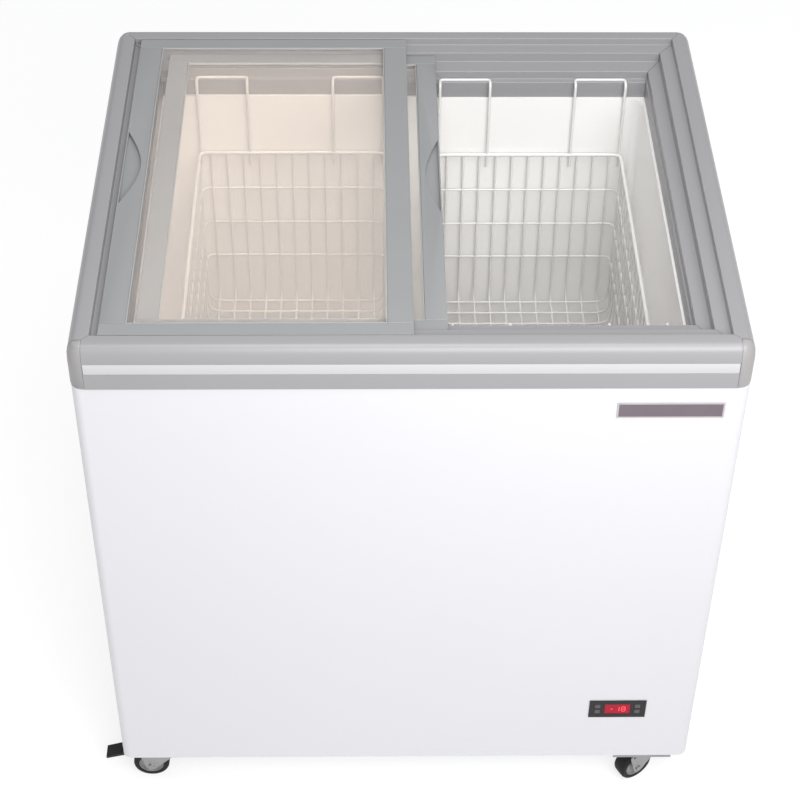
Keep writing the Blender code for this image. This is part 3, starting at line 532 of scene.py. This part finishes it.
def frame_rail(end, sign, runs_across):
    """One extrusion, mitred at each end along the section of the rails that it meets."""
    rings = [[], []]
    for ring, way in zip(rings, (-1, 1)):
        for (side, side_z), (cross, cross_z) in zip(side_section, cross_section):
            if runs_across:
                x = way * (HALF_WIDTH - max(side, CAP_RADIUS) - SEAM)
                ring.append((x, sign * (HALF_DEPTH - cross), cross_z))
            else:
                y = way * (HALF_DEPTH - max(cross, CAP_RADIUS) - SEAM)
                ring.append((sign * (HALF_WIDTH - side), y, side_z))
    node = f"frame_rail_{end}"
    piece = link_object(node + "_extrusion", lofted(node, *rings))
    wall = piece.modifiers.new("wall", "SOLIDIFY")
    wall.thickness = RAIL_WALL
    wall.offset = -1.0
    wall.use_even_offset = True
    settle(piece, 34)
    dress(piece, FRAME_GREY, "cabinet", (node,))


for end, sign, runs_across in (
    ("front", -1, True), ("rear", 1, True), ("left", -1, False), ("right", 1, False)
):
    frame_rail(end, sign, runs_across)
for corner in CORNERS:
    softened(f"frame_corner_{corner}", 0.0004, CAP_GREY, smooth=40)


def block(bm, centre, half):
    """Adds a box with this centre and half size."""
    place = Matrix.Translation(centre) @ Matrix.Diagonal((*half, 1))
    bmesh.ops.create_cube(bm, size=2.0, matrix=place)


def strip_mesh(name, centre, half, long_axis):
    """A pale strip with its long edges rounded, lying in the groove of one rail; its tone paints
    a highlight band.
    """
    bm = bmesh.new()
    block(bm, centre, half)
    edges = [e for e in bm.edges if abs((e.verts[0].co - e.verts[1].co)[long_axis]) > 0.1]
    bmesh.ops.bevel(bm, geom=edges, offset=0.0003, segments=2, affect="EDGES", profile=0.5)
    return mesh_from(bm, name)


strip_z = FRAME_TOP - (STRIP_TOP + STRIP_FOOT) / 2 - 0.0002
strip_half = (STRIP_FOOT - STRIP_TOP) / 2 - 0.0006
for side, sx, sy in (("front", 0, -1), ("rear", 0, 1), ("left", -1, 0), ("right", 1, 0)):
    inset = STRIP_DEPTH / 2
    centre = (sx * (HALF_WIDTH - inset), sy * (HALF_DEPTH - inset), strip_z)
    length = (HALF_DEPTH if sx else HALF_WIDTH) - CAP_RADIUS - 0.001
    half = (inset, length, strip_half) if sx else (length, inset, strip_half)
    mesh = strip_mesh(f"frame_strip_{side}", centre, half, 1 if sx else 0)
    add_piece(f"frame_strip_{side}", mesh, STRIP, "cabinet")


# ------------------------------------------------------------------ sliding lids
# Each lid is a pane of coated tempered glass held in four grooved bars. The wider stile at
# the outer end has a half-moon recess for the fingers, and the bars slide on the ledges.
LID_GREY = finish("blue_grey_lid_bar", (0.270, 0.275, 0.279), 0.36, shade=0.08, patch=8.0,
                  spread=0.10, grain=800.0, bump=0.06)


def lid_glass():
    """Clear glass with a faint warm coating; light passes on to the baskets below."""
    made = bpy.data.materials.new("coated_lid_glass")
    made.use_nodes = True
    tree = made.node_tree
    shader = tree.nodes["Principled BSDF"]
    shader.inputs["Base Color"].default_value = (0.925, 0.908, 0.888, 1)
    shader.inputs["Metallic"].default_value = 0.0
    shader.inputs["Transmission Weight"].default_value = 1.0
    shader.inputs["IOR"].default_value = 1.45
    place = tree.nodes.new("ShaderNodeTexCoord")
    smears = node_at(tree, "ShaderNodeTexNoise", Scale=7.0, Detail=6.0, Distortion=1.2)
    gloss = tree.nodes.new("ShaderNodeMapRange")
    for socket, value in (
        ("From Min", 0.35), ("From Max", 0.75), ("To Min", 0.0), ("To Max", 0.025)
    ):
        gloss.inputs[socket].default_value = value
    tree.links.new(place.outputs["Object"], smears.inputs["Vector"])
    tree.links.new(smears.outputs["Fac"], gloss.inputs["Value"])
    tree.links.new(gloss.outputs["Result"], shader.inputs["Roughness"])
    path = tree.nodes.new("ShaderNodeLightPath")
    through = node_at(tree, "ShaderNodeBsdfTransparent", Color=(0.97, 0.94, 0.915, 1))
    haze = node_at(tree, "ShaderNodeBsdfDiffuse", Color=(0.86, 0.80, 0.77, 1))
    hazed = node_at(tree, "ShaderNodeMixShader", Fac=0.05)
    either = tree.nodes.new("ShaderNodeMixShader")
    tree.links.new(shader.outputs["BSDF"], hazed.inputs[1])
    tree.links.new(haze.outputs["BSDF"], hazed.inputs[2])
    tree.links.new(path.outputs["Is Shadow Ray"], either.inputs["Fac"])
    tree.links.new(hazed.outputs[0], either.inputs[1])
    tree.links.new(through.outputs["BSDF"], either.inputs[2])
    tree.links.new(either.outputs[0], tree.nodes["Material Output"].inputs["Surface"])
    return made


LID_GLASS = lid_glass()
for lid in ("upper_lid", "lower_lid"):
    for bar in ("rail_front", "rail_rear", "stile_left", "stile_right"):
        softened(f"{lid}_{bar}", 0.0007, LID_GREY)
    softened(f"{lid}_glass", 0.0, LID_GLASS, smooth=5)


# ------------------------------------------------------------------ glazing beads
# A vinyl bead is pressed in between the glass and each of its four bars, and holds the pane
# tight. Its pale tone paints the thin bright highlight line along the edge of the glass.
# The bead's pale tone paints the bright highlight line along the glass edge.
BEAD = finish("pale_glazing_bead", (0.40, 0.405, 0.40), 0.45, shade=0.08, patch=40.0,
              grain=900.0, bump=0.05)
BEAD_WIDTH, BEAD_SINK = 0.0020, 0.0004


def make_beads_tree():
    """Sweeps a bead section along a line and gives it its material."""
    tree, given, result = new_tree(
        "beads",
        {"Line": "Geometry", "Width": "Float", "Height": "Float", "Vinyl": "Material"},
        "Bead",
    )
    curve = tree.nodes.new("GeometryNodeMeshToCurve")
    upright = node_at(tree, "GeometryNodeSetCurveNormal", mode="Z_UP")
    section = tree.nodes.new("GeometryNodeCurvePrimitiveQuadrilateral")
    rounded = node_at(tree, "GeometryNodeFilletCurve", mode="POLY", Radius=0.0006)
    rounded.inputs[1].default_value = 3
    sweep = tree.nodes.new("GeometryNodeCurveToMesh")
    link = tree.links.new
    link(given.outputs["Line"], curve.inputs["Mesh"])
    link(curve.outputs["Curve"], upright.inputs["Curve"])
    link(given.outputs["Width"], section.inputs["Width"])
    link(given.outputs["Height"], section.inputs["Height"])
    link(section.outputs["Curve"], rounded.inputs["Curve"])
    link(upright.outputs["Curve"], sweep.inputs["Curve"])
    link(rounded.outputs["Curve"], sweep.inputs["Profile Curve"])
    end_tree(tree, sweep.outputs["Mesh"], given.outputs["Vinyl"], result.inputs["Bead"])
    return tree


BEADS = make_beads_tree()
for lid in ("upper_lid", "lower_lid"):
    pane_low, pane_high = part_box(f"{lid}_glass")
    left = max(pane_low.x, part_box(f"{lid}_stile_left")[1].x)
    right = min(pane_high.x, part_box(f"{lid}_stile_right")[0].x)
    near = max(pane_low.y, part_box(f"{lid}_rail_front")[1].y)
    far = min(pane_high.y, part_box(f"{lid}_rail_rear")[0].y)
    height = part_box(f"{lid}_stile_left")[1].z - BEAD_SINK - pane_high.z
    inset, middle = BEAD_WIDTH / 2, pane_high.z + height / 2
    loop = bpy.data.meshes.new(f"{lid}_bead")
    corners = (
        (left + inset, near + inset, middle), (right - inset, near + inset, middle),
        (right - inset, far - inset, middle), (left + inset, far - inset, middle),
    )
    loop.from_pydata(corners, [(0, 1), (1, 2), (2, 3), (3, 0)], [])
    sizes = {"Width": BEAD_WIDTH, "Height": height, "Vinyl": BEAD}
    swept = baked(f"{lid}_bead", loop, BEADS, sizes)
    add_piece(f"{lid}_bead", swept, None, lid)


# ------------------------------------------------------------------ thermostat
# A snap-in digital thermostat: black moulded bezel, dark red window with a lit figure, and
# four soft keys. Its case sits behind the panel in the machine compartment.
BLACK_MOULDING = finish("black_moulding", (0.018, 0.015, 0.017), 0.4, shade=0.3, patch=60.0,
                        grain=1500.0, bump=0.15, Specular_IOR_Level=0.25)
KEY_RUBBER = finish("soft_key_rubber", (0.09, 0.085, 0.09), 0.6, shade=0.3, patch=90.0,
                    grain=1800.0, bump=0.2)
WINDOW = finish("red_display_window", (0.10, 0.0, 0.008), 0.22, shade=0.3, patch=60.0,
                grain=900.0, bump=0.0, Emission_Color=(0.42, 0.0, 0.022, 1),
                Emission_Strength=0.8, Specular_IOR_Level=0.2)
LIT = finish("lit_segments", (0.9, 0.05, 0.05), 0.4, Emission_Color=(1.0, 0.07, 0.06, 1),
             Emission_Strength=1.3)
softened("controller_bezel", 0.0, BLACK_MOULDING, smooth=20)
softened("controller_case", 0.0010, BLACK_MOULDING)
softened("controller_window", 0.0, WINDOW, smooth=20)
for key in ("key_set", "key_light", "key_up", "key_down"):
    softened(key, 0.0, KEY_RUBBER, smooth=20)
SEGMENTS = {
    "top": (0, 2, 1, 0), "upper_left": (-1, 1, 0, 1), "upper_right": (1, 1, 0, 1),
    "middle": (0, 0, 1, 0), "lower_left": (-1, -1, 0, 1), "lower_right": (1, -1, 0, 1),
    "bottom": (0, -2, 1, 0),
}
FIGURE = (
    ("middle",),
    ("upper_right", "lower_right"),
    tuple(SEGMENTS),
)
PLACE_PITCH, SEGMENT_PITCH = 0.0080, 0.0021 * 1.12
SEGMENT_LONG, SEGMENT_THIN, SEGMENT_DEEP, SEGMENT_AHEAD = 0.0021 * 0.85, 0.00045, 0.00006, 0.00012


def figure_mesh():
    """A seven-segment reading, three places wide, just in front of the window."""
    low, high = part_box("controller_window")
    middle = (low + high) / 2
    bm = bmesh.new()
    for place, lit in enumerate(FIGURE):
        x = middle.x + (place - 1) * PLACE_PITCH
        for name in lit:
            dx, dz, lies, stands = SEGMENTS[name]
            centre = (
                x + dx * SEGMENT_PITCH, low.y - SEGMENT_AHEAD, middle.z + dz * SEGMENT_PITCH
            )
            width = SEGMENT_LONG if lies else SEGMENT_THIN
            height = SEGMENT_LONG if stands else SEGMENT_THIN
            block(bm, centre, (width, SEGMENT_DEEP, height))
    return mesh_from(bm, "display_figure")


add_piece("display_figure", figure_mesh(), LIT, "cabinet")


# ------------------------------------------------------------------ name plate
# A blank metal plate at the upper right of the front: a pale raised border round a darker
# brushed field, stuck to the panel with adhesive.
def brushed_plate(name, colour):
    """Metal brushed along its length."""
    made = finish(name, colour, 0.38, shade=0.12, patch=40.0, grain=1200.0, bump=0.08,
                  Metallic=0.35)
    tree = made.node_tree
    place = tree.nodes.new("ShaderNodeTexCoord")
    stretch = node_at(tree, "ShaderNodeMapping", Scale=(8.0, 1.0, 900.0))
    lines = node_at(tree, "ShaderNodeTexNoise", Scale=1.0, Detail=2.0)
    tree.links.new(place.outputs["Object"], stretch.inputs["Vector"])
    tree.links.new(stretch.outputs["Vector"], lines.inputs["Vector"])
    tree.links.new(lines.outputs["Fac"], tree.nodes["Bump"].inputs["Height"])
    return made


PLATE_EDGE = brushed_plate("badge_border", (0.50, 0.46, 0.475))
PLATE_FIELD = brushed_plate("badge_field", (0.17, 0.135, 0.16))


def badge_mesh():
    """A plate with eased edges, whose field is pressed in inside a border."""
    low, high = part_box("badge_plate")
    centre, half = (low + high) / 2, (high - low) / 2
    bm = bmesh.new()
    block(bm, centre, half)
    bmesh.ops.bevel(bm, geom=bm.edges[:], offset=0.0003, segments=2, affect="EDGES", profile=0.5)
    front = min(bm.faces, key=lambda face: face.calc_center_median().y)
    bmesh.ops.inset_region(bm, faces=[front], thickness=0.0022, depth=-0.0004)
    front.material_index = 1
    mesh = mesh_from(bm, "badge_plate_finished")
    mesh.materials.append(PLATE_EDGE)
    mesh.materials.append(PLATE_FIELD)
    return mesh


add_piece("badge_plate_finished", badge_mesh(), None, "cabinet", ("badge_plate",))


# ------------------------------------------------------------------ casters
# Four swivel casters: a pressed zinc plate and fork, and a rubber tyre on a grey hub that
# turns on a plain axle. Two of them have a black brake pedal that presses on the tyre.
ZINC = finish("bright_zinc", (0.36, 0.365, 0.36), 0.42, shade=0.25, patch=60.0, spread=0.25,
              grain=900.0, bump=0.06, Metallic=0.9)
TYRE = finish("caster_tyre", (0.012, 0.012, 0.012), 0.62, shade=0.4, patch=80.0, spread=0.2,
              grain=1400.0, bump=0.35, Specular_IOR_Level=0.25)
HUB = finish("grey_hub", (0.24, 0.24, 0.245), 0.45, shade=0.2, patch=60.0, grain=1200.0,
             bump=0.1)
JOINT = {row["name"]: row for row in frame["record"]["behaviour"]["joints"]}
WHEEL_HALF, WHEEL_SIDES, HUB_RADIUS = 0.011, 64, 0.0168


def wheel_mesh(corner):
    """A turned wheel about its axle: hub with a dished web, and a crowned tyre."""
    joint = JOINT[f"wheel_{corner}"]
    centre, axle = Vector(joint["pos_m"]), Vector(joint["axis"]).normalized()
    ahead, half, rim = axle.cross(Vector((0, 0, 1))), WHEEL_HALF, centre.z
    outline = [
        (0.0043, -half), (0.0075, -half), (0.0085, -half + 0.0012), (0.0095, -half + 0.0035),
        (0.0160, -half + 0.0035), (0.0172, -half + 0.0010), (0.0185, -half + 0.0002),
        (rim - 0.0030, -half + 0.0004), (rim - 0.0012, -half + 0.0013),
        (rim - 0.0002, -half + 0.0035), (rim, 0.0),
    ]
    outline += [(radius, -across) for radius, across in reversed(outline[:-1])]
    bm = bmesh.new()
    rings = []
    for i in range(WHEEL_SIDES):
        a = 2 * math.pi * i / WHEEL_SIDES - math.pi / 2
        rings.append([
            bm.verts.new(
                centre + ahead * (radius * math.cos(a)) + axle * across
                + Vector((0, 0, radius * math.sin(a)))
            )
            for radius, across in outline
        ])
    for i in range(WHEEL_SIDES):
        one, other = rings[i], rings[(i + 1) % WHEEL_SIDES]
        for k in range(len(outline)):
            nxt = (k + 1) % len(outline)
            face = bm.faces.new((one[k], one[nxt], other[nxt], other[k]))
            middle = (outline[k][0] + outline[nxt][0]) / 2
            face.material_index = 1 if middle < HUB_RADIUS else 0
    bmesh.ops.recalc_face_normals(bm, faces=bm.faces)
    mesh = mesh_from(bm, f"caster_wheel_{corner}_turned")
    mesh.materials.append(TYRE)
    mesh.materials.append(HUB)
    return mesh


for corner in CORNERS:
    softened(f"caster_plate_{corner}", 0.0, ZINC, smooth=40)
    softened(f"caster_fork_{corner}", 0.0, ZINC, smooth=40)
    if f"caster_pedal_{corner}" in nodes:
        softened(f"caster_pedal_{corner}", 0.0, BLACK_MOULDING, smooth=40)
    wheel = f"caster_wheel_{corner}"
    add_piece(
        wheel + "_turned", wheel_mesh(corner), None, nodes[wheel]["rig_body"], (wheel,),
        smooth=40,
    )


# ------------------------------------------------------------------ machine compartment
# Behind the rear cover: a black painted compressor can, a finned aluminium condenser with
# its fan, and brazed copper pipework with a filter drier.
BLACK_ENAMEL = finish("black_enamel", (0.020, 0.020, 0.021), 0.3, shade=0.3, patch=25.0,
                      grain=500.0, bump=0.12, Coat_Weight=0.3, Coat_Roughness=0.2)
FINS = finish("fin_aluminium", (0.66, 0.67, 0.69), 0.38, shade=0.2, patch=30.0, grain=500.0,
              bump=0.05, Metallic=1.0)
FAN_PLASTIC = finish("fan_moulding", (0.40, 0.40, 0.40), 0.5, shade=0.15, patch=30.0,
                     grain=900.0, bump=0.1)
softened("compressor", 0.0, BLACK_ENAMEL, smooth=40)
softened("condenser_fan_motor", 0.0005, BLACK_ENAMEL, smooth=40)
softened("condenser", 0.0, FINS)
softened("condenser_fan", 0.0003, FAN_PLASTIC, smooth=40)
for pipe in ("filter_drier", "discharge_pipe", "suction_pipe"):
    softened(pipe, 0.0, COPPER, smooth=60)


# ------------------------------------------------------------------ rear cover and its screws
# A louvred cover of the same white sheet closes the compartment. Pan-head screws hold it,
# the rear panel and the caster plates, and a black gland marks where the mains lead goes in.
softened("rear_grille", 0.0, WHITE_COAT, smooth=20)
softened("power_gland", 0.0005, BLACK_MOULDING)


def make_screws_tree():
    """Puts a copy of one screw head on every point, facing the way it is told."""
    tree, given, result = new_tree(
        "screws",
        {"Points": "Geometry", "Head": "Object", "Turn": "Vector", "Finish": "Material"},
        "Screws",
    )
    head = tree.nodes.new("GeometryNodeObjectInfo")
    copies = tree.nodes.new("GeometryNodeInstanceOnPoints")
    link = tree.links.new
    link(given.outputs["Head"], head.inputs["Object"])
    link(given.outputs["Points"], copies.inputs["Points"])
    link(head.outputs["Geometry"], copies.inputs["Instance"])
    link(given.outputs["Turn"], copies.inputs["Rotation"])
    end_tree(tree, copies.outputs["Instances"], given.outputs["Finish"], result.inputs["Screws"])
    return tree


def screw_head(radius, height):
    """A domed head about Z with its foot at zero and a cross recess."""
    bm = bmesh.new()
    sides = 16
    dome = ((1.0, 0.0), (1.0, 0.35), (0.86, 0.8), (0.55, 1.0), (0.5, 0.98))
    turns = [2 * math.pi * i / sides for i in range(sides)]
    rows = [
        [
            bm.verts.new((out * radius * math.cos(a), out * radius * math.sin(a), up * height))
            for a in turns
        ]
        for out, up in dome
    ]
    floor = []
    for i, vert in enumerate(rows[-1]):
        reach = 0.9 if i % 4 else 0.35
        floor.append(bm.verts.new((vert.co.x * reach, vert.co.y * reach, height * 0.45)))
    rows.append(floor)
    for one, other in zip(rows, rows[1:]):
        for i in range(sides):
            k = (i + 1) % sides
            bm.faces.new((one[i], one[k], other[k], other[i]))
    bm.faces.new(list(reversed(rows[0])))
    bm.faces.new(floor)
    bmesh.ops.recalc_face_normals(bm, faces=bm.faces)
    return link_object("screw_head", mesh_from(bm, "screw_head"))


SCREWS = make_screws_tree()


def screws(name, places, turn, radius, height):
    """A set of screws as one mesh on the cabinet."""
    points = bpy.data.meshes.new(name)
    points.from_pydata(places, [], [])
    head = screw_head(radius, height)
    mesh = baked(name, points, SCREWS, {"Head": head, "Turn": turn, "Finish": ZINC})
    bpy.data.objects.remove(head, do_unlink=True)
    add_piece(name, mesh, ZINC, "cabinet", smooth=40)


panel_low, panel_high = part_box("rear_panel")
grille_low, grille_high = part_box("rear_grille")
SCREW_SINK, PANEL_EDGE, PANEL_FOOT, PANEL_HEAD = 0.0001, 0.018, 0.03, 0.02
PANEL_MIDDLES, COVER_EDGE, COVER_END = (0.28, 0.51), 0.0075, 0.012
PLATE_THICKNESS, BOLT_EDGE_X, BOLT_EDGE_Y = 0.0025, 0.009, 0.008
rear_y = panel_high.y - SCREW_SINK
panel_screws = [
    (x, rear_y, z)
    for x in (panel_low.x + PANEL_EDGE, panel_high.x - PANEL_EDGE)
    for z in (panel_low.z + PANEL_FOOT, *PANEL_MIDDLES, panel_high.z - PANEL_HEAD)
]
cover_screws = [
    (x, rear_y, z)
    for x in (grille_low.x + COVER_EDGE, grille_high.x - COVER_EDGE)
    for z in (grille_low.z + COVER_END, grille_high.z - COVER_END)
]
screws("rear_screws", panel_screws + cover_screws, (-math.pi / 2, 0, 0), 0.0036, 0.0014)
plate_bolts = []
for corner in CORNERS:
    low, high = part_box(f"caster_plate_{corner}")
    plate_bolts += [
        (x, y, high.z - PLATE_THICKNESS)
        for x in (low.x + BOLT_EDGE_X, high.x - BOLT_EDGE_X)
        for y in (low.y + BOLT_EDGE_Y, high.y - BOLT_EDGE_Y)
    ]
screws("caster_bolts", plate_bolts, (math.pi, 0, 0), 0.0048, 0.0026)


# ------------------------------------------------------------------ studio
# A plain pale floor under soft, even light, with the camera above and in front. The floor
# glows a little and the sky looks brighter than it lights, so that the ground stays white.
def flat_floor():
    """A wide pale sheet on the ground."""
    mesh = bpy.data.meshes.new("studio_floor")
    reach = 6.0
    mesh.from_pydata(
        [(-reach, -reach, 0), (reach, -reach, 0), (reach, reach, 0), (-reach, reach, 0)],
        [], [(0, 1, 2, 3)],
    )
    floor = link_object("studio_floor", mesh)
    white = finish("pale_floor", (0.36, 0.36, 0.36), 0.8, shade=0.01, bump=0.0,
                   Emission_Color=(1, 1, 1, 1), Emission_Strength=0.70)
    mesh.materials.append(white)


def soft_light(name, place, aim, size, watts):
    """A rectangular softbox, aimed at a point and hidden from the camera."""
    data = bpy.data.lights.new(name, "AREA")
    data.shape = "RECTANGLE"
    data.size, data.size_y = size
    data.energy = watts
    lamp = link_object(name, data)
    lamp.location = place
    lamp.rotation_euler = (Vector(aim) - Vector(place)).to_track_quat("-Z", "Y").to_euler()
    lamp.visible_camera = False


def level_camera(place, yaw, pitch, roll, lens):
    """A camera at a place, turned right by yaw, down by pitch and about its axis by roll."""
    level, fall = math.cos(pitch), math.sin(pitch)
    ahead = Vector((math.sin(yaw) * level, math.cos(yaw) * level, -fall))
    right = Vector((math.cos(yaw), -math.sin(yaw), 0))
    up = right.cross(ahead)
    tilted_right = right * math.cos(roll) + up * math.sin(roll)
    tilted_up = up * math.cos(roll) - right * math.sin(roll)
    data = bpy.data.cameras.new("camera")
    data.lens = lens
    data.sensor_width = 36
    camera = link_object("camera", data)
    turn = Matrix((tilted_right, tilted_up, -ahead)).transposed().to_4x4()
    camera.matrix_world = Matrix.Translation(place) @ turn
    bpy.context.scene.camera = camera


SKY_LIGHT, SKY_SEEN = 0.58, 1.02
flat_floor()
world = bpy.data.worlds.new("studio")
world.use_nodes = True
fill = world.node_tree.nodes["Background"]
fill.inputs["Color"].default_value = (0.98, 0.985, 1, 1)
sky = node_at(world.node_tree, "ShaderNodeMix", data_type="FLOAT")
sky.inputs["A"].default_value, sky.inputs["B"].default_value = SKY_LIGHT, SKY_SEEN
seen = world.node_tree.nodes.new("ShaderNodeLightPath")
world.node_tree.links.new(seen.outputs["Is Camera Ray"], sky.inputs["Factor"])
world.node_tree.links.new(sky.outputs["Result"], fill.inputs["Strength"])
bpy.context.scene.world = world
soft_light(
    "front_softbox", place=(0.45, -1.5, 1.72), aim=(0, -0.33, 0.8), size=(1.4, 0.9), watts=28
)
soft_light(
    "overhead_softbox", place=(0.1, -0.5, 3.0), aim=(0, 0, 0.6), size=(1.2, 1.2), watts=26
)
bpy.context.scene.view_settings.view_transform = "Standard"
bpy.context.scene.view_settings.look = "None"
level_camera(
    place=(-0.0489, -1.9882, 2.2835), yaw=0.0215, pitch=0.7496, roll=0.0122, lens=88.32
)
